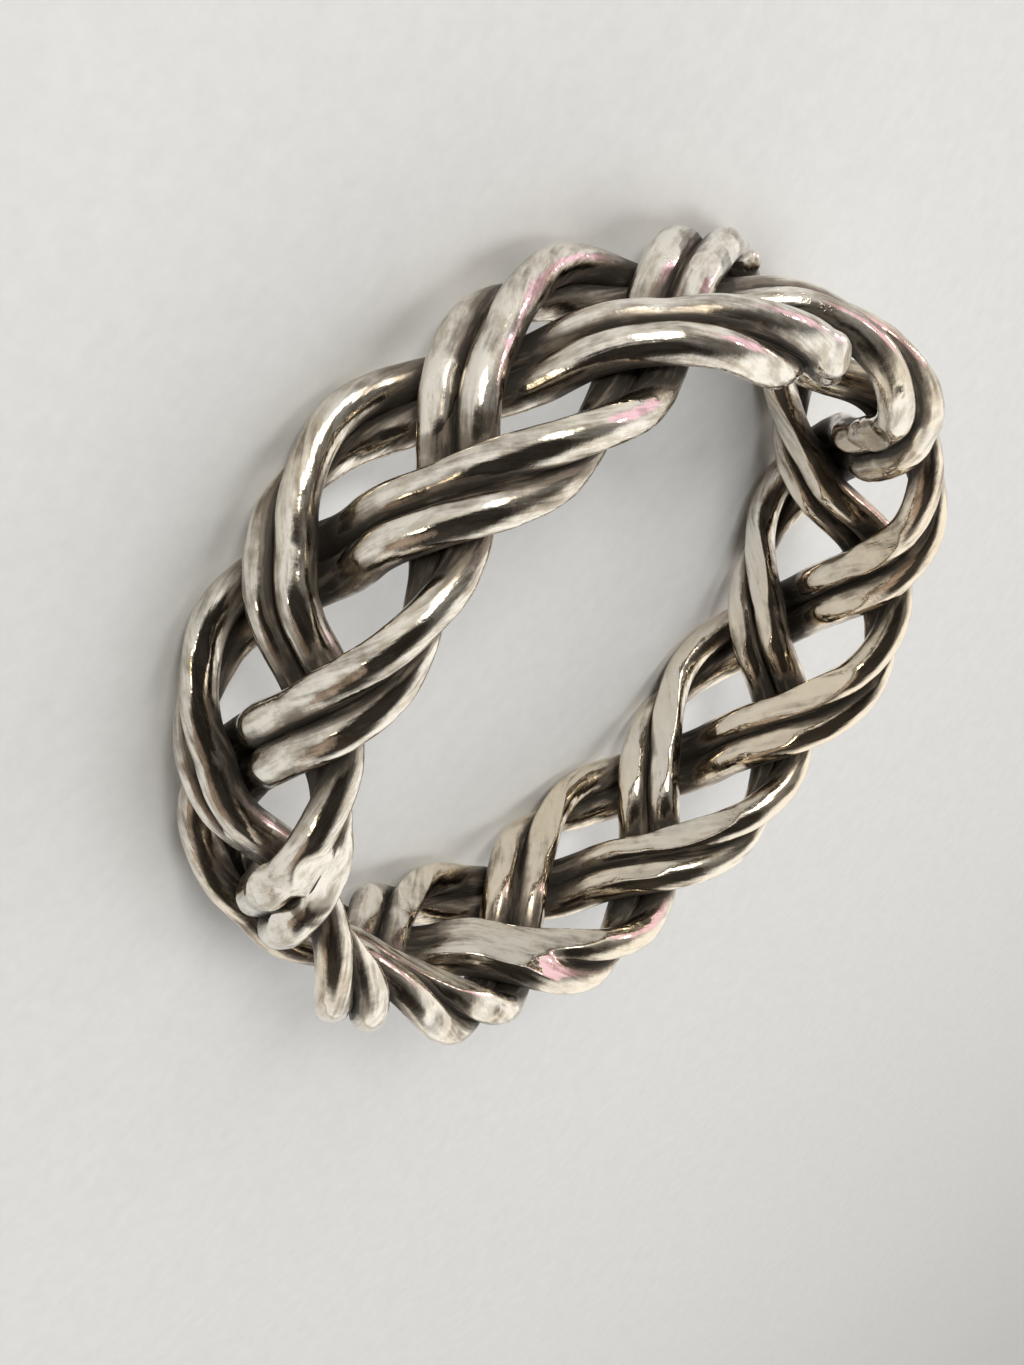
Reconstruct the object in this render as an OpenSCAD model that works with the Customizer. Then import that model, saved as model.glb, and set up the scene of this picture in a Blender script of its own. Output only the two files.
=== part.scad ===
// Braided band ring: three strands, each a pair of wires, plaited round a finger hole.
// Millimetres. The ring lies on its side: its axis is Z, and the middle of the hole is the origin.

/* [Ring] */
// Finger hole across
bore_d = 18; // [15:0.5:22]
// Width of the plait from rim to rim at an even fold
band_w = 5.6; // [5.2:0.1:6.4]
// Folds that show along each rim
folds = 11; // [10:1:12]

/* [Wire] */
// Thickness of one wire
wire_d = 0.94; // [0.8:0.02:1]
// Thickness of the neck of solder that joins the two wires of a strand
neck = 0.19; // [0.12:0.01:0.4]
// Gap between two strands where they cross
strand_gap = 0.08; // [0.06:0.01:0.14]
// Depth filed off the inner crests
filed = 0.07; // [0:0.01:0.12]
// How uneven the hand plaiting is: 0 is even, 1 is as on this ring
uneven = 1; // [0:0.1:1.2]

/* [Plaque] */
// Length of the flat field on the inside of one strand
plaque_l = 5.2; // [3:0.1:6]
// Width of the flat field
plaque_w = 1.6; // [1.1:0.05:1.8]
// Length over which each end of the field runs to a point
plaque_point = 1.6; // [0.5:0.1:2.5]

/* [Joint] */
// Gap between the two ends of wire that meet at the joint
joint_gap = 0.04; // [0.02:0.01:0.1]
// Length of the solder that fills the groove on each side of the joint
solder_l = 0.9; // [0.3:0.1:1.5]

/* [Fineness] */
// Sides of one wire
wire_sides = 10; // [8:2:12]
// Sections along a strand from one fold of the rim to the next
fold_sections = 12; // [8:2:14]

/* [Hidden] */
bore_r = bore_d / 2;
wire_r = wire_d / 2;
// The crests of the inner layer reach past the bore by what is filed off
layer_rise = (wire_d + strand_gap) / 2;
mid_r = bore_r - filed + wire_r + layer_rise;
plait_r = band_w / 2 - wire_r;
// The plait closes round the ring only with whole folds
fold_count = round(folds);
pitch = 360 / fold_count;
// Half the angle that the neck takes up, seen from a wire, and half the spacing of the two wires
neck_angle = asin(neck / wire_d);
half_pair = wire_r * cos(neck_angle);

// One turn of the weave carries a strand out to the upper rim, across, out to the lower rim and
// back. It takes three folds of each rim, because three strands share the folds.
strands = 3;
weave_step = 360 / strands;
// The inner and outer crossings lie this far from the middle of the band, in the weave's turn
crossing = 30;
// A strand lies deepest in its layer here, a little nearer to the rim than the crossing
deepest = 34;
layer_lean = -cos(2 * deepest) / cos(4 * deepest) / 2;
// The pair of wires starts to roll over here, on its way to a fold
roll_start = 35;
// Phase at which a strand folds over at the upper rim; at the lower rim it is half a turn on
upper_fold = 90;
// Length of wire for each degree of the weave's turn, where a strand lies on the inside
weave_l = norm([plait_r * cos(crossing), mid_r * strands / fold_count]) * PI / 180;
// The joint, counted in folds from the first: no strand lies on a crossing there
joint_place = 4.25;
joint_turn = joint_gap / 2 / weave_l;
solder_turn = solder_l / weave_l;

// The plaque is on the second strand, on the inner crossing that follows two turns of the weave
plaque_strand = 1;
plaque_turns = 2;
plaque_phase = crossing + 360 * plaque_turns;
plaque_turn = plaque_l / 2 / weave_l;
point_turn = plaque_point / weave_l;

// Folds of the hand plaiting, in order round the ring. A row has the fold of the upper rim, then
// the fold of the lower rim half a fold on. MOVE is how far a fold has slid along the rim, as a
// share of the fold spacing, and REACH how far it stands past an even fold, as a share of plait_r.
UPPER_MOVE = 0;
UPPER_REACH = 1;
LOWER_MOVE = 2;
LOWER_REACH = 3;
FOLD_TABLE = [
    [-0.08, 0.12, -0.12, 0.04],
    [-0.06, -0.02, 0.02, -0.08],
    [0.11, -0.03, 0.11, 0.01],
    [0.08, 0.04, 0.04, -0.02],
    [0.02, 0.00, -0.01, -0.16],
    [-0.01, 0.04, -0.04, 0.04],
    [0.01, 0.03, -0.09, -0.07],
    [-0.05, 0.01, -0.07, 0.01],
    [0.00, -0.07, -0.09, 0.04],
    [0.05, 0.08, -0.07, 0.03],
    [-0.02, 0.05, -0.12, 0.00]
];

function wrap(n, size) = ((n % size) + size) % size;
function unit(v) = v / norm(v);
function ease(x) = let (c = max(0, min(1, x))) c * c * (3 - 2 * c);
function deviation(fold, column) =
    uneven * FOLD_TABLE[wrap(wrap(fold, fold_count), len(FOLD_TABLE))][column];

// Blend of what the upper and the lower fold next to a place on a strand add there
function added(phase, first, upper_column, lower_column) =
    let (
        upper_share = (1 + sin(phase)) / 2,
        upper = first + strands * floor((phase + upper_fold) / 360),
        lower = first + 1 + strands * floor((phase - upper_fold) / 360)
    )
    upper_share * deviation(upper, upper_column) + (1 - upper_share) * deviation(lower, lower_column);

// How far out of the middle layer a strand lies: 1 outer, -1 inner, flat over each crossing
function layer_wave(phase) = sin(2 * phase) + layer_lean * sin(4 * phase);
function layer(phase) =
    let (wave = -layer_wave(phase) / layer_wave(deepest))
    wave * (3 - wave * wave) / 2;

// Middle of a strand at a phase of its weave; first is the number of its first upper fold
function middle(phase, first) =
    let (
        even_place = first + (phase - upper_fold) / weave_step,
        angle = (even_place + added(phase, first, UPPER_MOVE, LOWER_MOVE)) * pitch,
        radius = mid_r + layer_rise * layer(phase),
        reach = 1 + added(phase, first, UPPER_REACH, LOWER_REACH)
    )
    [radius * cos(angle), radius * sin(angle), plait_r * reach * sin(phase)];

// How far the pair of wires has rolled over: flat on the band between folds, upright in a fold
function roll(phase) = 90 * (1 - max(-1, min(1, cos(phase) / cos(roll_start))));

// Directions across the pair and through it, square to the strand
function across_and_through(phase, first) =
    let (
        step = 0.5,
        along = unit(middle(phase + step, first) - middle(phase - step, first)),
        here = middle(phase, first),
        out = unit([here.x, here.y, 0]),
        up = unit(out - (out * along) * along),
        side = cross(up, along),
        across = cos(roll(phase)) * side + sin(roll(phase)) * up
    )
    [across, cross(along, across)];

// Share of the groove that solder fills near the joint
function solder_fill(phase, start, end) =
    ease((solder_turn - min(phase - start, end - phase)) / (solder_turn / 2));

// Share of the plaque's full width at a phase of the strand that carries it
function plaque_share(phase, first) =
    first == plaque_strand
        ? ease((plaque_turn - abs(phase - plaque_phase)) / point_turn)
        : 0;

// A point of the pair's outline: x across the pair, y through it, the inner face at y below 0.
// The points of a wire run round it from one side of the groove to the other. Solder fills the
// groove on both faces, and the plaque fills it on the inner face and squares that face off.
function outline_point(wire, i, solder, plaque) =
    let (
        open = 180 - neck_angle,
        turn = i * 2 * open / wire_sides - open,
        x = half_pair + wire_r * cos(turn),
        y = wire_r * sin(turn),
        flat_y = wire_r * sign(turn),
        in_groove = x < half_pair,
        filled_y = in_groove ? y + (flat_y - y) * solder : y,
        on_plaque = wire * turn < 0 && abs(turn) > 60,
        edge_x = in_groove ? x : plaque_w / 2
    )
    on_plaque
        ? wire * [x + (edge_x - x) * plaque, filled_y + (flat_y - filled_y) * plaque]
        : wire * [x, filled_y];

function outline(solder, plaque) =
    [for (wire = [1, -1], i = [0 : wire_sides - 1]) outline_point(wire, i, solder, plaque)];

// Nothing stands inside the finger hole: what reaches past it is filed flat
function file_to_bore(p) =
    let (radius = norm([p.x, p.y]), grow = max(1, bore_r / radius))
    [p.x * grow, p.y * grow, p.z];

function section(phase, first, start, end) =
    let (
        centre = middle(phase, first),
        axes = across_and_through(phase, first),
        shape = outline(solder_fill(phase, start, end), plaque_share(phase, first))
    )
    [for (p = shape) file_to_bore(centre + p.x * axes[0] + p.y * axes[1])];

// A pair of wires swept once round the ring, from the joint back to the joint
module strand(first) {
    start = upper_fold + weave_step * (joint_place - first) + joint_turn;
    end = start + weave_step * fold_count - 2 * joint_turn;
    sections = fold_count * fold_sections;
    corners = 2 * wire_sides;
    step = (end - start) / sections;
    rings = [for (k = [0 : sections]) section(start + step * k, first, start, end)];
    walls = [
        for (k = [0 : sections - 1], i = [0 : corners - 1])
            let (a = k * corners + i, b = k * corners + (i + 1) % corners)
            each [[a, b + corners, b], [a, a + corners, b + corners]]
    ];
    first_cap = [for (i = [0 : corners - 1]) i];
    last_cap = [for (i = [corners - 1 : -1 : 0]) sections * corners + i];
    polyhedron(points = [for (ring = rings) each ring], faces = concat(walls, [first_cap, last_cap]));
}

module strand_a() {
    color("silver") strand(0);
}

module strand_b() {
    color("gainsboro") strand(plaque_strand);
}

module strand_c() {
    color("darkgray") strand(2);
}

strand_a();
strand_b();
strand_c();
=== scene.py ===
"""Looks of a braided band ring: three strands of paired silver wires, plaited round a hole."""

import math

import bmesh
import bpy
import numpy as np
from bpy.props import FloatProperty, FloatVectorProperty, IntProperty, PointerProperty
from mathutils import Matrix, Vector, noise
from mathutils.bvhtree import BVHTree


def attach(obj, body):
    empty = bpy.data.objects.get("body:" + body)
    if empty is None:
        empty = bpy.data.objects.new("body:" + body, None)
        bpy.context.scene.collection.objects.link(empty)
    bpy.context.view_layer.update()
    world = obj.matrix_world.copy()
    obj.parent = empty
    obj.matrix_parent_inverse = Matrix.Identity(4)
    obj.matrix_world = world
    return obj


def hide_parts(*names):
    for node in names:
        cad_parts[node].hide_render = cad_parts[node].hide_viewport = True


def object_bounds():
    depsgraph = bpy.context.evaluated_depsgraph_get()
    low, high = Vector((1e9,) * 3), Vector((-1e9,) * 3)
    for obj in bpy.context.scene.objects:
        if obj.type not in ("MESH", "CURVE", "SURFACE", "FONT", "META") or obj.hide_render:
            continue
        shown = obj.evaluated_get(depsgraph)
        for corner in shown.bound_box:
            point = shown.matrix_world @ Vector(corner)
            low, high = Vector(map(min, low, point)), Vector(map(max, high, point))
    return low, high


bl_info = {
    "name": "Braided band ring",
    "version": (1, 0, 0),
    "blender": (4, 5, 0),
    "location": "3D View > Sidebar > Ring",
    "description": "Models the plaited silver ring on the packed part, with its finish, floor and light",
    "category": "Add Mesh",
}

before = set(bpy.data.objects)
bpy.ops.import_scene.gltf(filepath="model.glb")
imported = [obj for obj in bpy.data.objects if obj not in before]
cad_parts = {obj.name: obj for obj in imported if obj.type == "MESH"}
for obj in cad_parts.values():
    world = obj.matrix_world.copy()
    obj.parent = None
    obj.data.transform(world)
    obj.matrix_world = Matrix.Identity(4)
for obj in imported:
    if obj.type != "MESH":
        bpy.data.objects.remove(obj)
CAD_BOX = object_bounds()
MM = 0.001

# Weave, in degrees of one turn that carries a strand out to both rims and back
STRANDS = 3
TURN = 360.0
WEAVE_STEP = TURN / STRANDS
UPPER_FOLD = 90.0
CROSSING = 30.0
DEEPEST = 34.0
ROLL_START = 35.0
JOINT_PLACE = 4.25
PLAQUE_STRAND = 1
PLAQUE_PHASE = CROSSING + 2 * TURN

# Folds of the hand plaiting, in order round the ring: how far the fold of the upper rim has slid
# and how far it stands out, then the same of the lower rim, as shares of the even plait
UPPER_MOVE, UPPER_REACH, LOWER_MOVE, LOWER_REACH = range(4)
FOLD_TABLE = np.array([
    [-0.08, 0.12, -0.12, 0.04],
    [-0.06, -0.02, 0.02, -0.08],
    [0.11, -0.03, 0.11, 0.01],
    [0.08, 0.04, 0.04, -0.02],
    [0.02, 0.00, -0.01, -0.16],
    [-0.01, 0.04, -0.04, 0.04],
    [0.01, 0.03, -0.09, -0.07],
    [-0.05, 0.01, -0.07, 0.01],
    [0.00, -0.07, -0.09, 0.04],
    [0.05, 0.08, -0.07, 0.03],
    [-0.02, 0.05, -0.12, 0.00],
])

# Walls and ceiling that the silver reflects: colours by the sine of the height, then soft patches,
# each with its azimuth and height angle, the angles of its core and edge, and its colour
ROOM_HEIGHTS = (
    (0.0, (0.87, 0.845, 0.80)),
    (0.3, (0.74, 0.715, 0.675)),
    (0.52, (0.29, 0.277, 0.259)),
    (0.8, (0.17, 0.162, 0.15)),
    (1.0, (0.13, 0.123, 0.114)),
)
ROOM_PATCHES = (
    (270, 25, 30, 60, (1.03, 1.01, 0.97)),
    (117, 50, 34, 54, (0.030, 0.026, 0.022)),
    (165, 42, 10, 30, (0.045, 0.039, 0.033)),
    (46, 16, 9, 18, (3.5, 3.4, 3.1)),
    (342, 9, 15, 26, (1.02, 0.71, 0.83)),
    (150, 12, 3, 26, (0.36, 0.28, 0.22)),
    (52, 26, 2, 4, (13.0, 11.8, 8.8)),
    (118, 5, 2, 4, (12.0, 10.2, 6.8)),
    (322, 4, 2, 4, (11.0, 10.4, 9.2)),
    (350, 23, 2, 4, (11.0, 10.6, 9.8)),
)

# Lamps, which light the floor and the dull films but aren't mirrored in the silver: each with its
# azimuth and height angle, distance, size, power and colour
LAMPS = {
    "overhead": ((30, 84), 0.15, 0.10, 0.084, (0.985, 0.99, 1)),
    "key": ((62, 33), 0.5, 0.12, 1.12, (1, 0.985, 0.95)),
}

# Dents and long flats of the hand work: the sizes of the dents in millimetres, each with its share
# of the depth, then the size of the flats across the wire, their share, and how they are drawn out
DENT_SIZES = ((1.3, 1.0), (0.5, 0.5))
FLAT_SIZE = 0.25
FLAT_SHARE = 0.9
FLAT_DRAWN = 0.10

# Solder that fills the groove between the two wires, one row each: the strand, the phase along it
# and how far it runs each way in millimetres, and how steeply it begins
SOLDER = (
    (0, 600, 0.9),
    (0, 1895, 1.15),
    (1, 1800, 0.9),
    (2, 360, 0.9),
    (2, 1680, 0.9),
)
SOLDER_STEEPNESS = 2

# Marks change only the part of a strand within this phase of them. They rise this steeply from
# their edges. Pits hold dirt, by their depth in millimetres, and what is filed shines.
MARK_SPAN = 45
MARK_STEEPNESS = 1.6
PIT_DIRT = 5
FILED_SHINE = 0.55
# Marks of the hand work, one row each: the strand, the phase along it, the wire of the pair (1 or
# -1) and the turn round that wire where it lies, then, in millimetres, how far it reaches, how far
# it pushes the metal out or in and how deep it is filed flat, and last how pitted it is
MARKS = (
    # Solder spread over the fold beside the joint, and the two lobes that it ends in
    (0, 1918, 1, -45, 0.85, 0.13, 0.06, 0.0),
    (1, 478, 1, -45, 0.85, 0.13, 0.06, 0.0),
    (0, 1930, -1, 118, 0.80, 0.13, 0.07, 0.1),
    (1, 490, -1, 118, 0.80, 0.13, 0.07, 0.1),
    (0, 1894, 1, -90, 0.90, 0.02, 0.10, 0.0),
    (0, 1894, -1, 90, 0.90, 0.02, 0.10, 0.0),
    (0, 1908, -1, 86, 0.60, 0.02, 0.08, 0.0),
    (0, 1889, 1, -95, 0.10, -0.04, 0.0, 0.0),
    (0, 1893, 1, -112, 0.08, -0.03, 0.0, 0.0),
    # Ends of the wires that fold over at the far side, filed flat
    (0, 1506, 1, -32, 0.85, 0.13, 0.07, 0.0),
    (0, 1547, -1, 53, 0.60, 0.0, 0.05, 0.0),
    (0, 1503, 1, -10, 0.10, -0.05, 0.0, 0.2),
    (2, 1118, -1, 50, 0.55, 0.05, 0.06, 0.0),
    (2, 1134, -1, 52, 1.00, 0.0, 0.02, 0.0),
    (2, 1117, -1, 39, 0.09, -0.10, 0.0, 0.0),
    (2, 1147, -1, 40, 0.16, -0.07, 0.0, 0.0),
    (2, 1147, -1, 75, 0.16, -0.07, 0.0, 0.0),
    (2, 1178, -1, 60, 0.90, 0.0, 0.07, 0.0),
    (2, 1196, -1, 30, 0.13, -0.04, 0.0, 0.4),
    (2, 1190, -1, 42, 0.10, -0.04, 0.0, 0.2),
    (2, 1158, -1, 70, 0.07, -0.04, 0.0, 0.0),
    (2, 1150, 1, -53, 0.80, 0.0, 0.05, 0.0),
    # Spur of solder that stands out beside the upper fold
    (1, 1340, 1, -60, 0.34, 0.12, 0.0, 0.0),
    # Rough patches, left by the solder
    (0, 1495, 1, 56, 0.38, 0.01, 0.0, 1.0),
    (2, 1253, -1, 75, 0.28, 0.0, 0.0, 1.0),
    (2, 1246, -1, 58, 0.28, 0.0, 0.0, 1.0),
    (2, 1239, -1, 46, 0.28, 0.0, 0.0, 0.9),
    (2, 577, -1, -100, 0.45, 0.05, 0.0, 1.0),
    (1, 1427, -1, -100, 0.30, 0.03, 0.0, 0.8),
    # Facets that the file left on the upper folds
    (1, 1424, -1, -88, 0.60, 0.0, 0.06, 0.0),
    (1, 1422, 1, 75, 0.60, 0.0, 0.07, 0.1),
    (1, 1396, 1, 25, 0.55, 0.0, 0.05, 0.0),
    (2, 1430, -1, -88, 0.90, 0.0, 0.05, 0.0),
    (2, 1424, -1, -144, 0.50, 0.02, 0.03, 0.0),
    (0, 784, 1, -60, 0.60, 0.0, 0.05, 0.1),
    (0, 812, -1, 67, 0.60, 0.0, 0.05, 0.1),
)

# Noise patterns in the silver: features per metre, detail and roughness
PATTERNS = {
    "mottle": (1000, 4, 0.6),
    "film": (160, 2, 0.5),
    "grain": (4200, 3, 0.6),
    "beads": (9000, 1, 0.5),
    "streak": (5200, 3, 0.6),
    "scratch": (16000, 2, 0.6),
    "cloud": (2600, 4, 0.65),
}
# How the streaks and the clouds are drawn out along the wire
STREAK_DRAWN = (1, 1, 0.12)
CLOUD_DRAWN = (1, 1, 0.4)
# Where each film begins and where it is full
EDGES = {
    "brown": (-0.04, 0.15),
    "oxide": (0.11, 0.31),
    "rubbed": (0.50, 0.72),
    "tarnish_and_warm_reflection": (0.46, 0.85),
    "patina": (0.44, 0.64),
    "satin": (0.05, 0.45),
    "beads": (0.45, 0.65),
}
# A painted warm reflection grows against this direction, and the far side is painted lighter, both over
# these metres
WARM_REFLECTION_WAY = (0.4, 1, 0)
WARM_REFLECTION_REACH = (-0.009, 0.006)
FAR_REACH = (-0.010, -0.003)
# How ragged the edges of the dark films are, and how much the far side is painted lighter by thinning
# its dark film
RAGGED = 0.42
FAR_PAINTED_LIGHT = 0.05


class RingSizes(bpy.types.PropertyGroup):
    """Sizes of the plait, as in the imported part."""

    bore: FloatProperty(
        name="Finger hole", description="Finger hole across", default=18 * MM,
        unit="LENGTH", precision=5)
    band_width: FloatProperty(
        name="Band width", description="Width of the plait at an even fold", default=5.6 * MM,
        unit="LENGTH", precision=5)
    folds: IntProperty(
        name="Folds", description="Folds that show along each rim", default=len(FOLD_TABLE),
        min=10, max=12)
    wire: FloatProperty(
        name="Wire", description="Thickness of one wire", default=0.94 * MM,
        unit="LENGTH", precision=6)
    neck: FloatProperty(
        name="Neck", description="Thickness of the solder between the two wires of a strand",
        default=0.19 * MM, unit="LENGTH", precision=6)
    strand_gap: FloatProperty(
        name="Strand gap", description="Gap between two strands where they cross",
        default=0.08 * MM, unit="LENGTH", precision=6)
    filed: FloatProperty(
        name="Filed", description="Depth filed off the inner crests", default=0.07 * MM,
        unit="LENGTH", precision=6)
    plaque_length: FloatProperty(
        name="Plaque length", description="Length of the flat field inside the band",
        default=5.2 * MM, unit="LENGTH", precision=5)
    plaque_width: FloatProperty(
        name="Plaque width", description="Width of the flat field", default=1.6 * MM,
        unit="LENGTH", precision=5)
    plaque_point: FloatProperty(
        name="Plaque point", description="Length over which each end of the field runs to a point",
        default=1.6 * MM, unit="LENGTH", precision=5)
    joint_gap: FloatProperty(
        name="Joint gap", description="Gap left between two wire ends at the joint",
        default=0.004 * MM, unit="LENGTH", precision=6)
    flat_fade: FloatProperty(
        name="Fade", description="Length over which the long flats fade out towards the joint",
        default=0.9 * MM, unit="LENGTH", precision=5)
    fold_sections: IntProperty(
        name="Sections", description="Sections of the mesh from one fold to the next",
        default=80, min=12)
    wire_sides: IntProperty(
        name="Sides", description="Sides of the mesh round one wire", default=48, min=10)


class RingFinish(bpy.types.PropertyGroup):
    """Colours and roughness of the silver and of what has darkened it."""

    silver: FloatVectorProperty(
        name="Silver", description="Colour of the polished crests", default=(0.96, 0.915, 0.83),
        subtype="COLOR", size=3, min=0, max=1)
    # Warm tarnish colour, which on the -Y side also lays on the painted warm reflection
    tarnish_and_warm_reflection: FloatVectorProperty(
        name="Tarnish", description="Colour of the warm film on the inner wires",
        default=(0.95, 0.79, 0.57), subtype="COLOR", size=3, min=0, max=1)
    brown: FloatVectorProperty(
        name="Brown", description="Colour of the brown film at the edges of the grooves",
        default=(0.20, 0.160, 0.122), subtype="COLOR", size=3, min=0, max=1)
    oxide: FloatVectorProperty(
        name="Oxide", description="Colour of the black film in the grooves",
        default=(0.062, 0.053, 0.043), subtype="COLOR", size=3, min=0, max=1)
    worn_oxide: FloatVectorProperty(
        name="Worn oxide", description="Colour of the black film where it is rubbed thin",
        default=(0.23, 0.19, 0.148), subtype="COLOR", size=3, min=0, max=1)
    patina: FloatVectorProperty(
        name="Patina", description="Colour of the grey streaks on the crests",
        default=(0.60, 0.54, 0.44), subtype="COLOR", size=3, min=0, max=1)
    polish: FloatProperty(
        name="Polish", description="Roughness of the crests", default=0.055, min=0, max=1)
    dullness: FloatProperty(
        name="Dullness", description="Roughness of the grooves", default=0.4, min=0, max=1)
    dents: FloatProperty(
        name="Dents", description="Depth of the small dents left by plaiting and polishing",
        default=0.020 * MM, unit="LENGTH", precision=6)
    bump: FloatProperty(
        name="Grain", description="Height of the fine grain and the streaks along the wire",
        default=0.010 * MM, unit="LENGTH", precision=6)


class RingStage(bpy.types.PropertyGroup):
    """Floor, light and camera."""

    floor_width: FloatProperty(
        name="Floor", description="Width of the floor", default=2.0, unit="LENGTH")
    wall_height: FloatProperty(
        name="Wall height", description="Height of the plain wall round the floor",
        default=0.8, unit="LENGTH")
    wall_bend: FloatProperty(
        name="Wall bend", description="Radius of the bend from the floor up into the wall",
        default=0.35, unit="LENGTH")
    floor_colour: FloatVectorProperty(
        name="Floor colour", description="Colour of the pale floor", default=(0.74, 0.745, 0.74),
        subtype="COLOR", size=3, min=0, max=1)
    camera_distance: FloatProperty(
        name="Distance", description="From the camera to the point it looks at", default=49.0 * MM,
        unit="LENGTH", precision=4)
    camera_aim: FloatVectorProperty(
        name="Aim", description="Point that the camera looks at",
        default=(-1.62 * MM, 0.61 * MM, -0.69 * MM), subtype="TRANSLATION", unit="LENGTH", size=3,
        precision=5)
    camera_azimuth: FloatProperty(
        name="Azimuth", description="Direction of the camera round the ring, from +X towards +Y",
        default=math.radians(83.667), subtype="ANGLE")
    camera_height: FloatProperty(
        name="Height angle", description="Angle of the camera above the floor",
        default=math.radians(31.58), subtype="ANGLE")
    camera_roll: FloatProperty(
        name="Roll", description="Turn of the camera about its own line of sight",
        default=math.radians(131.8), subtype="ANGLE")
    camera_lens: FloatProperty(
        name="Lens", description="Focal length for a 36 mm wide picture", default=67.58,
        subtype="DISTANCE_CAMERA")


def sin(degrees):
    return np.sin(np.radians(degrees))


def cos(degrees):
    return np.cos(np.radians(degrees))


def unit(vectors):
    return vectors / np.linalg.norm(vectors, axis=-1, keepdims=True)


def dot(first, second):
    return np.sum(first * second, axis=-1, keepdims=True)


def ease(value):
    held = np.clip(value, 0, 1)
    return held * held * (3 - 2 * held)


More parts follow.
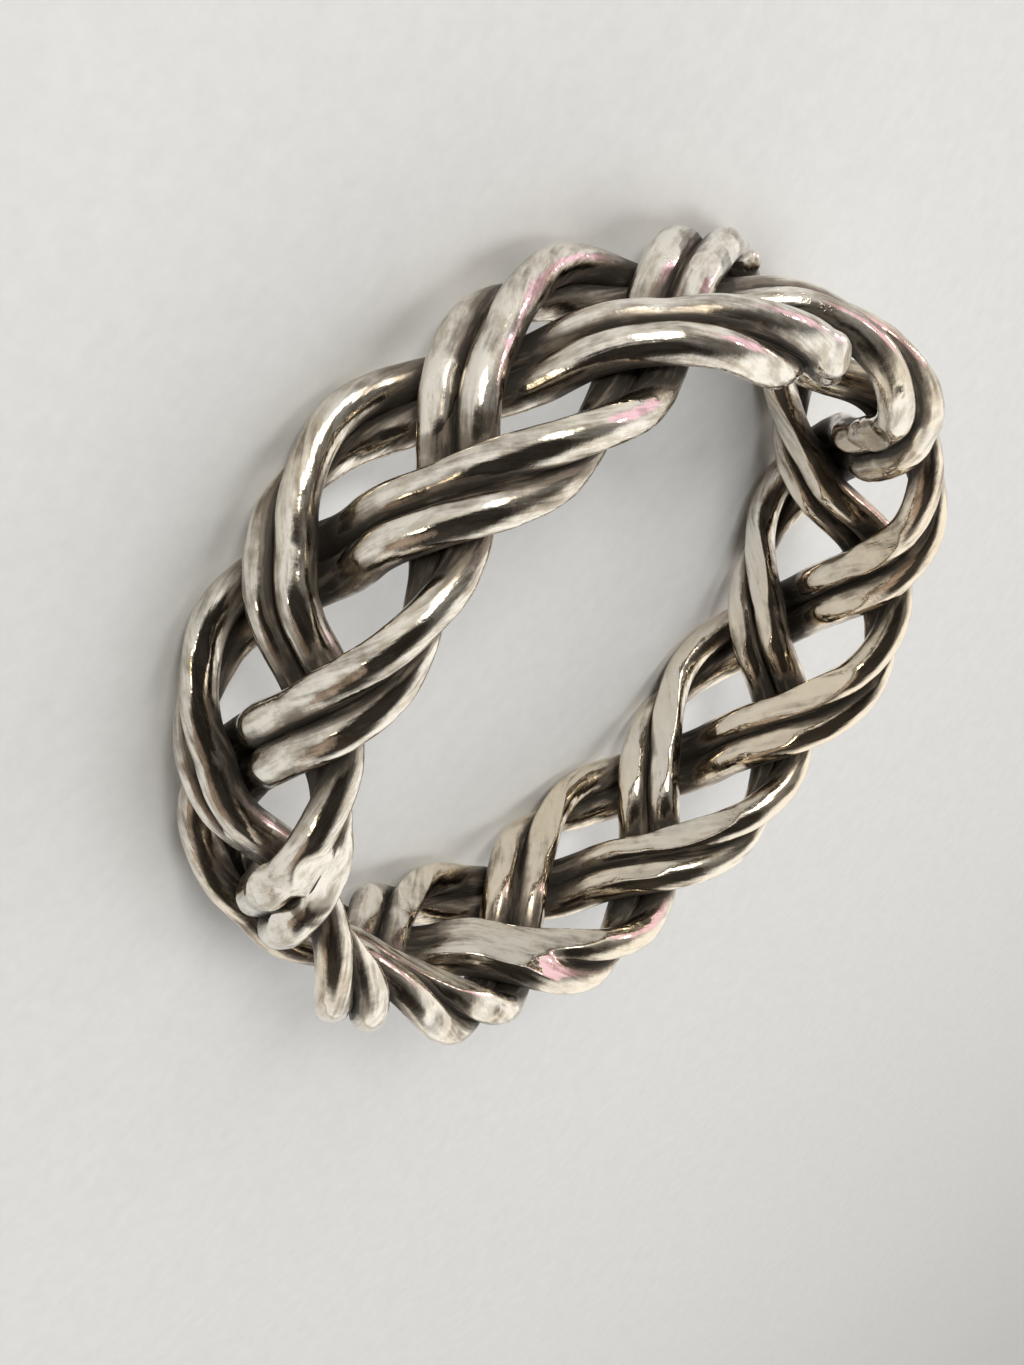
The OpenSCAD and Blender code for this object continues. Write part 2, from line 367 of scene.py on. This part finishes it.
class Plait:
    """Path and outline of a strand. Lengths are in metres and phases in degrees of the weave."""

    def __init__(self, sizes):
        self.sizes = sizes
        self.bore_radius = sizes.bore / 2
        self.wire_radius = sizes.wire / 2
        self.layer_rise = (sizes.wire + sizes.strand_gap) / 2
        self.middle_radius = self.bore_radius - sizes.filed + self.wire_radius + self.layer_rise
        self.plait_radius = sizes.band_width / 2 - self.wire_radius
        self.pitch = TURN / sizes.folds
        self.neck_angle = math.degrees(math.asin(sizes.neck / sizes.wire))
        self.half_pair = self.wire_radius * cos(self.neck_angle)
        self.layer_lean = -cos(2 * DEEPEST) / cos(4 * DEEPEST) / 2
        across = self.plait_radius * cos(CROSSING)
        around = self.middle_radius * STRANDS / sizes.folds
        self.length_per_degree = math.radians(math.hypot(across, around))

    def deviation(self, fold, column):
        row = fold.astype(int) % self.sizes.folds % len(FOLD_TABLE)
        return FOLD_TABLE[row, column]

    def added(self, phase, first, upper_column, lower_column):
        """Blend of what the upper and the lower fold next to a place on a strand add there."""
        upper_share = (1 + sin(phase)) / 2
        upper = first + STRANDS * np.floor((phase + UPPER_FOLD) / TURN)
        lower = first + 1 + STRANDS * np.floor((phase - UPPER_FOLD) / TURN)
        return (upper_share * self.deviation(upper, upper_column)
                + (1 - upper_share) * self.deviation(lower, lower_column))

    def layer_wave(self, phase):
        return sin(2 * phase) + self.layer_lean * sin(4 * phase)

    def layer(self, phase):
        """How far out of the middle layer a strand lies: 1 outer, -1 inner."""
        wave = -self.layer_wave(phase) / self.layer_wave(DEEPEST)
        return wave * (3 - wave * wave) / 2

    def middle(self, phase, first):
        even_place = first + (phase - UPPER_FOLD) / WEAVE_STEP
        angle = (even_place + self.added(phase, first, UPPER_MOVE, LOWER_MOVE)) * self.pitch
        radius = self.middle_radius + self.layer_rise * self.layer(phase)
        reach = 1 + self.added(phase, first, UPPER_REACH, LOWER_REACH)
        height = self.plait_radius * reach * sin(phase)
        return np.stack([radius * cos(angle), radius * sin(angle), height], -1)

    def roll(self, phase):
        """How far the pair of wires has rolled over: flat between folds, upright in a fold."""
        return 90 * (1 - np.clip(cos(phase) / cos(ROLL_START), -1, 1))

    def across_and_through(self, phase, first):
        step = 0.5
        along = unit(self.middle(phase + step, first) - self.middle(phase - step, first))
        out = unit(self.middle(phase, first) * (1, 1, 0))
        up = unit(out - dot(out, along) * along)
        side = np.cross(up, along)
        roll = self.roll(phase)[:, None]
        across = cos(roll) * side + sin(roll) * up
        return across, np.cross(along, across)

    def span(self, first):
        """Phases of a strand's two ends, at the joint."""
        joint_turn = self.sizes.joint_gap / 2 / self.length_per_degree
        start = UPPER_FOLD + WEAVE_STEP * (JOINT_PLACE - first) + joint_turn
        return start, start + WEAVE_STEP * self.sizes.folds - 2 * joint_turn

    def solder_fill(self, phase, first):
        """Share of the groove between the wires that solder fills."""
        fill = np.zeros_like(phase)
        for strand, place, reach in SOLDER:
            if strand == first:
                turn = reach * MM / self.length_per_degree
                fill = np.maximum(fill, ease(SOLDER_STEEPNESS * (1 - np.abs(phase - place) / turn)))
        return fill

    def plaque_share(self, phase, first):
        """How far the outline of the strand has changed into that of the plaque."""
        if first != PLAQUE_STRAND:
            return np.zeros_like(phase)
        plaque_turn = self.sizes.plaque_length / 2 / self.length_per_degree
        point_turn = self.sizes.plaque_point / self.length_per_degree
        return ease((plaque_turn - np.abs(phase - PLAQUE_PHASE)) / point_turn)

    def outline(self, solder, plaque):
        """Points of the pair's outline, x across the pair and y through it, inwards below 0."""
        sides = self.sizes.wire_sides
        radius = self.wire_radius
        open_angle = 180 - self.neck_angle
        turn = np.tile(np.arange(sides) * 2 * open_angle / sides - open_angle, 2)[None, :]
        wire = np.repeat([1, -1], sides)[None, :]
        x = self.half_pair + radius * cos(turn)
        y = radius * sin(turn)
        face_y = radius * np.sign(turn)
        y = np.where(x < self.half_pair, y + (face_y - y) * solder[:, None], y)
        # The side of the plaque is straight up to its corner, and its face is flat from there
        side_turn, corner_turn = 36, 72
        edge_x = self.sizes.plaque_width / 2
        side_x = self.half_pair + radius * cos(side_turn)
        side_y = radius * sin(side_turn)
        up_side = np.clip((np.abs(turn) - side_turn) / (corner_turn - side_turn), 0, 1)
        on_face = np.clip((np.abs(turn) - corner_turn) / (open_angle - corner_turn), 0, 1)
        plaque_x = side_x + (edge_x - side_x) * up_side - edge_x * on_face
        plaque_y = (side_y + (radius - side_y) * up_side) * np.sign(turn)
        share = np.where((wire * turn < 0) & (np.abs(turn) > side_turn), plaque[:, None], 0)
        x = x + (plaque_x - x) * share
        y = y + (plaque_y - y) * share
        return wire * x, wire * y

    def surface(self, phase, first, wire, turn):
        """Place and outward direction on one wire of the pair, at a turn round that wire."""
        phases = np.array([phase], dtype=float)
        across, through = self.across_and_through(phases, first)
        outward = wire * (cos(turn) * across[0] + sin(turn) * through[0])
        centre = self.middle(phases, first)[0] + wire * self.half_pair * across[0]
        return centre + self.wire_radius * outward, outward

    def corners_of(self, wire):
        """Which corners of the outline lie on one wire of the pair."""
        return np.repeat([wire > 0, wire < 0], self.sizes.wire_sides)

    def file_to_bore(self, points):
        """Nothing stands inside the finger hole: what reaches past it is filed flat."""
        radius = np.linalg.norm(points[..., :2], axis=-1)
        grow = np.maximum(1, self.bore_radius / radius)
        filed = points.copy()
        filed[..., :2] *= grow[..., None]
        return filed

    def strand(self, first):
        """Rows of points along a strand, with the outline coordinates of each."""
        start, end = self.span(first)
        phase = np.linspace(start, end, self.sizes.folds * self.sizes.fold_sections + 1)
        x, y = self.outline(self.solder_fill(phase, first), self.plaque_share(phase, first))
        across, through = self.across_and_through(phase, first)
        centre = self.middle(phase, first)
        points = centre[:, None] + x[..., None] * across[:, None] + y[..., None] * through[:, None]
        run = np.broadcast_to(((phase - start) * self.length_per_degree)[:, None], x.shape)
        return self.file_to_bore(points), np.stack([x, y, run], -1)


def row_normals(points):
    """Normals of rows of points that close round the strand."""
    along = np.gradient(points, axis=0)
    around = np.roll(points, -1, axis=1) - np.roll(points, 1, axis=1)
    return unit(np.cross(around, along))


def noise_at(points, size):
    """Smooth noise from -1 to 1 at rows of points, with features of about the given size."""
    scaled = (points / size).reshape(-1, 3).tolist()
    return np.array([noise.noise(point) for point in scaled]).reshape(points.shape[:-1])


def worked(points, wire_run, depth, flat_fade):
    """Points pushed in and out by soft dents, and by long flats that fade out towards the joint."""
    dents = sum(share * noise_at(points, size * MM) for size, share in DENT_SIZES)
    flats = noise_at(wire_run * (1, 1, FLAT_DRAWN), FLAT_SIZE * MM)
    run = wire_run[..., 2]
    fade = ease(np.minimum(run, run.max() - run) / flat_fade)
    push = depth * (dents + FLAT_SHARE * flats * fade)
    return points + push[..., None] * row_normals(points)


def marked(points, plait, first):
    """Points changed by the marks on a strand, with how pitted and how dirty each one is."""
    start, end = plait.span(first)
    phase = np.linspace(start, end, len(points))
    pitted = np.zeros(points.shape[:2])
    dirt = np.zeros(points.shape[:2])
    for strand, place, wire, turn, reach, push, filed, rough in MARKS:
        if strand != first:
            continue
        centre, normal = plait.surface(place, first, wire, turn)
        near = np.ix_(np.abs(phase - place) < MARK_SPAN, plait.corners_of(wire))
        normals = row_normals(points)[near]
        away = np.linalg.norm(points[near] - centre, axis=-1) / (reach * MM)
        share = ease(MARK_STEEPNESS * (1 - away))
        points[near] += (push * MM * share)[..., None] * normals
        if filed:
            proud = (points[near] - centre) @ normal - (push - filed) * MM
            points[near] -= (np.maximum(proud, 0) * share)[..., None] * normal
        pitted[near] = np.maximum(pitted[near], rough * share)
        dirt[near] += (max(0, -push) * PIT_DIRT - (FILED_SHINE if filed else 0)) * share
    return points, pitted, dirt


def strand_mesh(points, wire_run):
    """A bmesh tube through rows of points, closed round the strand and at both ends."""
    rows, corners = points.shape[:2]
    bm = bmesh.new()
    map_layer = bm.loops.layers.uv.new("OFBake")
    run_layer = bm.verts.layers.float_vector.new("wire_run")
    place_layer = bm.verts.layers.int.new("place")
    bmesh.ops.create_grid(bm, x_segments=rows - 1, y_segments=corners, size=0.5, calc_uvs=True)
    bm.verts.ensure_lookup_table()
    for vert in bm.verts:
        i = round((vert.co.x + 0.5) * (rows - 1))
        j = round((vert.co.y + 0.5) * corners) % corners
        vert.co = points[i, j]
        vert[run_layer] = wire_run[i, j]
        vert[place_layer] = i * corners + j
    seam = 1e-9
    bmesh.ops.remove_doubles(bm, verts=bm.verts, dist=seam)
    ends = [edge for edge in bm.edges if edge.is_boundary]
    for edge in ends:
        edge.smooth = False
    bmesh.ops.holes_fill(bm, edges=ends, sides=0)
    for face in bm.faces:
        face.smooth = len(face.verts) <= 4
    bmesh.ops.recalc_face_normals(bm, faces=bm.faces)
    fold_map(bm, map_layer)
    return bm


def fold_map(bm, layer):
    """Lays the map of the strand in rows, so that its patterns keep their proportions."""
    columns, lines = 3, 4
    cells = columns * lines - 1
    margin = 0.01
    end_radius = 0.4
    for face in bm.faces:
        # The two ends of the strand share the last cell
        if len(face.verts) > 4:
            for k, loop in enumerate(face.loops):
                turn = 2 * math.pi * k / len(face.loops)
                at = Vector((0.5 + end_radius * math.cos(turn), 0.5 + end_radius * math.sin(turn)))
                loop[layer].uv = cell_place(at, columns, lines, cells, margin)
            continue
        middle = sum(loop[layer].uv.x for loop in face.loops) / len(face.loops)
        cell = min(int(middle * cells), cells - 1)
        for loop in face.loops:
            at = Vector((loop[layer].uv.x * cells - cell, loop[layer].uv.y))
            loop[layer].uv = cell_place(at, columns, lines, cell, margin)


def cell_place(at, columns, lines, cell, margin):
    """Place in the whole map of a place in one of its cells."""
    inside = at * (1 - 2 * margin) + Vector((margin, margin))
    return ((cell % columns + inside.x) / columns, (cell // columns + inside.y) / lines)


def hemisphere(count):
    """Directions spread over a half sphere round +Z, more of them near its middle."""
    k = np.arange(count) + 0.5
    turn = k * 180 * (3 - math.sqrt(5))
    spread = np.sqrt(k / count)
    return np.stack([spread * cos(turn), spread * sin(turn), np.sqrt(1 - k / count)], -1)


def closed_in(points, trees):
    """How much the metal near rows of points shuts them in, from 0 to 1."""
    rows, corners = points.shape[:2]
    row_step, corner_step = 3, 2
    lift = 0.004
    slant = (0.31, 0.59, 0.75)
    reach = 2.0 * MM
    rays = hemisphere(22)
    normals = row_normals(points)[::row_step, ::corner_step]
    spots = points[::row_step, ::corner_step] + normals * lift * MM
    sides = unit(np.cross(normals, slant))
    ups = np.cross(normals, sides)
    shut = np.zeros(spots.shape[:2])
    for ray in rays:
        ways = ray[0] * sides + ray[1] * ups + ray[2] * normals
        for index in np.ndindex(shut.shape):
            spot, way = Vector(spots[index]), Vector(ways[index])
            hits = (tree.ray_cast(spot, way, reach)[3] for tree in trees)
            near = min((hit for hit in hits if hit is not None), default=reach)
            shut[index] += (1 - near / reach) / len(rays)
    whole = np.repeat(np.repeat(shut, row_step, axis=0), corner_step, axis=1)[:rows, :corners]
    return softened(softened(whole, row_step, 0), corner_step, 1)


def softened(values, steps, axis):
    """Values averaged with their neighbours on each side, wrapping round."""
    shifted = [np.roll(values, shift, axis) for shift in range(-steps, steps + 1)]
    return sum(shifted) / len(shifted)


class Value:
    """A shader socket that carries a number, with Python's operators."""

    def __init__(self, tree, socket):
        self.tree = tree
        self.socket = socket

    def math(self, operation, *inputs):
        return self.tree.value("ShaderNodeMath", {"operation": operation}, dict(enumerate(inputs)))

    def __add__(self, other):
        return self.math("ADD", self, other)

    def __radd__(self, other):
        return self.math("ADD", other, self)

    def __sub__(self, other):
        return self.math("SUBTRACT", self, other)

    def __rsub__(self, other):
        return self.math("SUBTRACT", other, self)

    def __mul__(self, other):
        return self.math("MULTIPLY", self, other)

    def __rmul__(self, other):
        return self.math("MULTIPLY", other, self)

    def picked(self, name):
        """Another output of the node that this one comes from."""
        return Value(self.tree, self.socket.node.outputs[name])

    def clamped(self):
        return self.tree.value("ShaderNodeClamp", {}, {"Value": self})

    def between(self, low, high):
        """0 below low and 1 above high, eased between them."""
        return self.tree.value(
            "ShaderNodeMapRange", {"interpolation_type": "SMOOTHSTEP"},
            {"Value": self, "From Min": low, "From Max": high})


class ShaderTree:
    """Adds nodes to the tree of a material or a world."""

    def __init__(self, owner):
        owner.use_nodes = True
        self.nodes = owner.node_tree.nodes
        self.links = owner.node_tree.links
        self.nodes.clear()

    def node(self, kind, settings, inputs):
        node = self.nodes.new(kind)
        for name, setting in settings.items():
            if name == "stops":
                self.set_stops(node.color_ramp, setting)
            else:
                setattr(node, name, setting)
        for name, given in inputs.items():
            socket = node.inputs[name]
            if isinstance(given, Value):
                given = given.socket
            if isinstance(given, bpy.types.NodeSocket):
                self.links.new(given, socket)
            else:
                socket.default_value = given
        return node

    def set_stops(self, ramp, stops):
        while len(ramp.elements) < len(stops):
            ramp.elements.new(1)
        for element, (position, colour) in zip(ramp.elements, stops):
            element.position = position
            element.color = (*colour, 1)

    def value(self, kind, settings, inputs):
        return Value(self, self.node(kind, settings, inputs).outputs[0])

    def mix_colour(self, share, first, second):
        """The first colour where the share is 0 and the second where it is 1."""
        node = self.node("ShaderNodeMix", {"data_type": "RGBA"}, {0: share})
        for index, given in ((6, first), (7, second)):
            if isinstance(given, bpy.types.NodeSocket):
                self.links.new(given, node.inputs[index])
            else:
                node.inputs[index].default_value = (*given, 1)
        return node.outputs[2]

    def attribute(self, name):
        return self.value("ShaderNodeAttribute", {"attribute_name": name}, {}).picked("Fac")

    def vector_math(self, operation, vector, other, output="Vector"):
        settings = {"operation": operation}
        return self.value("ShaderNodeVectorMath", settings, {0: vector, 1: other}).picked(output)

    def noise(self, place, per_metre, detail, roughness=0.5):
        return self.value(
            "ShaderNodeTexNoise", {"noise_dimensions": "3D"},
            {"Vector": place, "Scale": per_metre, "Detail": detail, "Roughness": roughness})


def worn_silver(finish):
    """Polished silver whose grooves and crossings have gone dark."""
    material = bpy.data.materials.new("worn_silver")
    tree = ShaderTree(material)
    place = tree.node("ShaderNodeTexCoord", {}, {}).outputs["Object"]
    run = tree.value("ShaderNodeAttribute", {"attribute_name": "wire_run"}, {}).picked("Vector")
    closed = tree.attribute("closed")
    pitted = tree.attribute("pitted")
    drawn = tree.vector_math("MULTIPLY", run, STREAK_DRAWN)
    smeared = tree.vector_math("MULTIPLY", run, CLOUD_DRAWN)
    mottle = tree.noise(place, *PATTERNS["mottle"])
    film = tree.noise(place, *PATTERNS["film"])
    grain = tree.noise(place, *PATTERNS["grain"])
    beads = tree.noise(place, *PATTERNS["beads"]).between(*EDGES["beads"])
    streak = tree.noise(drawn, *PATTERNS["streak"])
    scratch = tree.noise(drawn, *PATTERNS["scratch"])
    cloud = tree.noise(smeared, *PATTERNS["cloud"])

    # The far side is painted lighter: less dark film and less patina there, standing in for brighter
    # reflections
    far = 1 - tree.value("ShaderNodeSeparateXYZ", {}, {0: place}).picked("Y").between(*FAR_REACH)
    # Painted warm reflection on the -Y side, laid on by place, standing in for the warm floor that these
    # wires mirror
    painted_warm_reflection = 1 - tree.vector_math("DOT_PRODUCT", place, WARM_REFLECTION_WAY, "Value").between(*WARM_REFLECTION_REACH)
    shut = closed + (mottle - 0.5) * RAGGED + (streak - 0.5) * RAGGED - far * FAR_PAINTED_LIGHT
    brown = shut.between(*EDGES["brown"])
    oxide = shut.between(*EDGES["oxide"])
    rubbed = (streak + (mottle - 0.5) * 0.5).between(*EDGES["rubbed"])
    # Real tarnish from the film, the streaks and the hollows, plus the painted warm reflection on one
    # side
    tarnish_and_warm_reflection = film + (streak - 0.5) * 0.35 + closed * 0.3 + painted_warm_reflection * 0.25
    tarnish_and_warm_reflection = tarnish_and_warm_reflection.between(*EDGES["tarnish_and_warm_reflection"]) * 0.6
    # Patina is thinned where the warm reflection and the lighter far side are painted
    patina = cloud.between(*EDGES["patina"]) * (0.9 - painted_warm_reflection * 0.3 - far * 0.4)
    satin = (0 - closed).between(*EDGES["satin"])

    colour = tree.mix_colour(patina, tuple(finish.silver), tuple(finish.patina))
    colour = tree.mix_colour(tarnish_and_warm_reflection, colour, tuple(finish.tarnish_and_warm_reflection))
    colour = tree.mix_colour(brown * 0.85, colour, tuple(finish.brown))
    film_colour = tree.mix_colour(rubbed, tuple(finish.oxide), tuple(finish.worn_oxide))
    colour = tree.mix_colour(oxide, colour, film_colour)

    rough = (mottle - 0.5) * 0.07 + (scratch - 0.5) * 0.09 + finish.polish
    rough = rough + patina * 0.08 + satin * 0.22 + brown * 0.10
    rough = rough + oxide * (finish.dullness - finish.polish)
    height = streak * 0.9 + mottle * 1.8 + grain * 0.5 + pitted * beads * 1.3
    bump = tree.node(
        "ShaderNodeBump", {}, {"Strength": 1.0, "Distance": finish.bump, "Height": height})
    shader = tree.node(
        "ShaderNodeBsdfPrincipled", {},
        {"Base Color": colour, "Metallic": 1 - oxide * 0.5, "Roughness": rough.clamped(),
         "Normal": bump.outputs[0]})
    tree.node("ShaderNodeOutputMaterial", {}, {"Surface": shader.outputs[0]})
    return material


def paper(stage):
    """Pale floor with a faint grain."""
    material = bpy.data.materials.new("pale_floor")
    tree = ShaderTree(material)
    place = tree.node("ShaderNodeTexCoord", {}, {}).outputs["Object"]
    grain = tree.noise(place, 2200, 3, 0.6)
    cloud = tree.noise(place, 45, 3)
    shade = (grain - 0.5) * 0.9 + (cloud - 0.5) * 0.3 + 0.5
    darkest, lightest = 0.93, 1.07
    dark = tuple(darkest * c for c in stage.floor_colour)
    light = tuple(min(1, lightest * c) for c in stage.floor_colour)
    colour = tree.mix_colour(shade, dark, light)
    bump = tree.node(
        "ShaderNodeBump", {}, {"Strength": 0.25, "Distance": 0.02 * MM, "Height": grain})
    shader = tree.node(
        "ShaderNodeBsdfPrincipled", {},
        {"Base Color": colour, "Roughness": 0.75, "Normal": bump.outputs[0],
         "Specular IOR Level": 0.3})
    tree.node("ShaderNodeOutputMaterial", {}, {"Surface": shader.outputs[0]})
    return material


def towards(azimuth, height):
    """Direction at an azimuth from +X towards +Y and at a height angle, in degrees."""
    return Vector((cos(height) * cos(azimuth), cos(height) * sin(azimuth), sin(height)))


def room_light():
    """A room that is pale towards its horizon and dim above, with soft patches on its walls."""
    world = bpy.data.worlds.new("room")
    tree = ShaderTree(world)
    direction = tree.node("ShaderNodeTexCoord", {}, {}).outputs["Generated"]
    rise = tree.value("ShaderNodeSeparateXYZ", {}, {0: direction}).picked("Z")
    colour = tree.node("ShaderNodeValToRGB", {"stops": ROOM_HEIGHTS}, {"Fac": rise}).outputs[0]
    for azimuth, height, core, edge, patch in ROOM_PATCHES:
        nearness = tree.vector_math("DOT_PRODUCT", direction, towards(azimuth, height), "Value")
        colour = tree.mix_colour(nearness.between(cos(edge), cos(core)), colour, patch)
    background = tree.node("ShaderNodeBackground", {}, {"Color": colour, "Strength": 1.0})
    tree.node("ShaderNodeOutputWorld", {}, {"Surface": background.outputs[0]})
    bpy.context.scene.world = world


def area_light(name, direction, distance, size, power, colour):
    """A soft lamp that faces the ring from a direction given as azimuth and height angle."""
    away = towards(*direction)
    data = bpy.data.lights.new(name, "AREA")
    data.shape = "DISK"
    data.size = size
    data.energy = power
    data.color = colour
    lamp = bpy.data.objects.new(name, data)
    lamp.location = away * distance
    lamp.rotation_euler = away.to_track_quat("Z", "Y").to_euler()
    lamp.visible_glossy = False
    lamp.visible_camera = False
    bpy.context.scene.collection.objects.link(lamp)


def add_piece(bm, name, material):
    """An object at the origin with the bmesh's faces and a material."""
    mesh = bpy.data.meshes.new(name)
    bm.to_mesh(mesh)
    bm.free()
    mesh.materials.append(material)
    piece = bpy.data.objects.new(name, mesh)
    bpy.context.scene.collection.objects.link(piece)
    return piece


def floor_sheet(stage):
    """A bmesh of the flat floor."""
    bm = bmesh.new()
    bmesh.ops.create_grid(bm, x_segments=1, y_segments=1, size=stage.floor_width / 2)
    bmesh.ops.translate(bm, verts=bm.verts, vec=(0, 0, CAD_BOX[0].z))
    return bm


def wall_sheet(stage):
    """A bmesh of the round wall that the floor runs up into."""
    bend_steps, round_steps = 15, 96
    foot = stage.floor_width / 2 - stage.wall_bend
    bm = bmesh.new()
    verts = []
    for step in range(bend_steps + 1):
        bend = math.radians(90 * step / bend_steps)
        out = foot + stage.wall_bend * math.sin(bend)
        verts.append(bm.verts.new((out, 0, stage.wall_bend * (1 - math.cos(bend)))))
    verts.append(bm.verts.new((stage.floor_width / 2, 0, stage.wall_height)))
    edges = [bm.edges.new(pair) for pair in zip(verts, verts[1:])]
    bmesh.ops.spin(
        bm, geom=verts + edges, cent=(0, 0, 0), axis=(0, 0, 1), angle=math.radians(360),
        steps=round_steps, use_merge=True)
    bmesh.ops.translate(bm, verts=bm.verts, vec=(0, 0, CAD_BOX[0].z))
    bm.normal_update()
    for face in bm.faces:
        face.smooth = True
        if face.normal.xy.dot(face.calc_center_median().xy) > 0:
            face.normal_flip()
    return bm


class RING_OT_strands(bpy.types.Operator):
    """Models the three strands of paired wires and gives them their finish"""

    bl_idname = "ring.strands"
    bl_label = "Strands"

    def execute(self, context):
        plait = Plait(context.scene.ring_sizes)
        finish = context.scene.ring_finish
        material = worn_silver(finish)
        letters = "abc"
        strands = []
        for first in range(len(letters)):
            points, wire_run = plait.strand(first)
            points = worked(points, wire_run, finish.dents, plait.sizes.flat_fade)
            points, pitted, dirt = marked(points, plait, first)
            strands.append((points, pitted, dirt, strand_mesh(points, wire_run)))
        trees = [BVHTree.FromBMesh(bm) for points, pitted, dirt, bm in strands]
        for letter, (points, pitted, dirt, bm) in zip(letters, strands):
            closed = closed_in(points, trees) + dirt
            for name, values in (("closed", closed), ("pitted", pitted)):
                layer = bm.verts.layers.float.new(name)
                place_layer = bm.verts.layers.int["place"]
                for vert in bm.verts:
                    vert[layer] = values.flat[vert[place_layer]]
            bm.verts.layers.int.remove(bm.verts.layers.int["place"])
            piece = add_piece(bm, "strand_" + letter + "_wires", material)
            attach(piece, "root")
            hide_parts("strand_" + letter)
        return {"FINISHED"}


class RING_OT_stage(bpy.types.Operator):
    """Lays the floor, lights it and sets the camera"""

    bl_idname = "ring.stage"
    bl_label = "Stage"

    def execute(self, context):
        stage = context.scene.ring_stage
        material = paper(stage)
        add_piece(floor_sheet(stage), "floor", material)
        wall = add_piece(wall_sheet(stage), "wall", material)
        # The wall is only the background of low views: the ring and the floor are lit without it
        wall.visible_diffuse = False
        wall.visible_glossy = False
        wall.visible_shadow = False
        room_light()
        for name, lamp in LAMPS.items():
            area_light(name, *lamp)
        context.scene.view_settings.view_transform = "Standard"
        self.set_camera(context.scene, stage)
        return {"FINISHED"}

    def set_camera(self, scene, stage):
        roll = stage.camera_roll
        back = towards(math.degrees(stage.camera_azimuth), math.degrees(stage.camera_height))
        level = Vector((0, 0, 1)).cross(back).normalized()
        upright = back.cross(level)
        right = math.cos(roll) * level + math.sin(roll) * upright
        up = back.cross(right)
        turn = Matrix((right, up, back)).transposed().to_4x4()
        place = Vector(stage.camera_aim) + back * stage.camera_distance
        data = bpy.data.cameras.new("camera")
        data.sensor_fit = "HORIZONTAL"
        data.sensor_width = 36
        data.lens = stage.camera_lens
        data.clip_start = 1 * MM
        camera = bpy.data.objects.new("camera", data)
        camera.matrix_world = Matrix.Translation(place) @ turn
        scene.collection.objects.link(camera)
        scene.camera = camera


class RING_PT_ring(bpy.types.Panel):
    """Lists the ring's pieces and their sizes"""

    bl_label = "Braided band ring"
    bl_idname = "RING_PT_ring"
    bl_space_type = "VIEW_3D"
    bl_region_type = "UI"
    bl_category = "Ring"

    def draw(self, context):
        for group in (context.scene.ring_sizes, context.scene.ring_finish, context.scene.ring_stage):
            box = self.layout.box()
            for name in group.__annotations__:
                box.prop(group, name)
        for operator in OPERATORS:
            self.layout.operator(operator.bl_idname)


GROUPS = {"ring_sizes": RingSizes, "ring_finish": RingFinish, "ring_stage": RingStage}
OPERATORS = (RING_OT_strands, RING_OT_stage)


def register():
    for name, group in GROUPS.items():
        bpy.utils.register_class(group)
        setattr(bpy.types.Scene, name, PointerProperty(type=group))
    for kind in (*OPERATORS, RING_PT_ring):
        bpy.utils.register_class(kind)


def unregister():
    for kind in (RING_PT_ring, *reversed(OPERATORS)):
        bpy.utils.unregister_class(kind)
    for name, group in GROUPS.items():
        delattr(bpy.types.Scene, name)
        bpy.utils.unregister_class(group)


def main():
    register()
    bpy.ops.ring.strands()
    bpy.ops.ring.stage()


if __name__ == "__main__":
    main()
